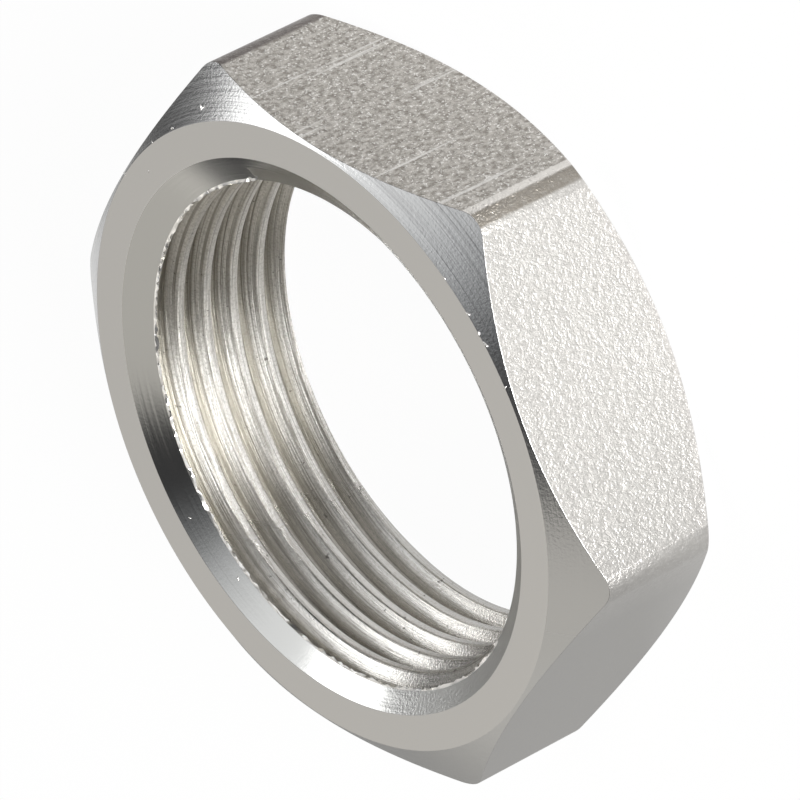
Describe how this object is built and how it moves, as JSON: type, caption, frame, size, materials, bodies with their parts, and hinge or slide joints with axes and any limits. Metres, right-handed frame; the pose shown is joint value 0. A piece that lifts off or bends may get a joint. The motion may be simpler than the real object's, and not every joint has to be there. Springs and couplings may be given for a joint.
{
  "type": "bulkhead lock nut",
  "caption": "Thin chamfered hexagon lock nut with a fine right-hand thread and a countersunk hole, for clamping a fitting in a panel.",
  "frame": {"origin": "centre of the rear face, which the nut lies on", "axes": "+Z along the hole, from the rear face to the front face with the deeper countersink; +X square to one flat; +Y through a corner"},
  "size_m": [0.019, 0.0216, 0.0056],
  "materials": {
    "steel": "stainless steel: grainy drawn flats, fine-turned chamfers and faces, cut thread"
  },
  "bodies": {
    "root": {"lock_nut": "steel"}
  },
  "joints": []
}
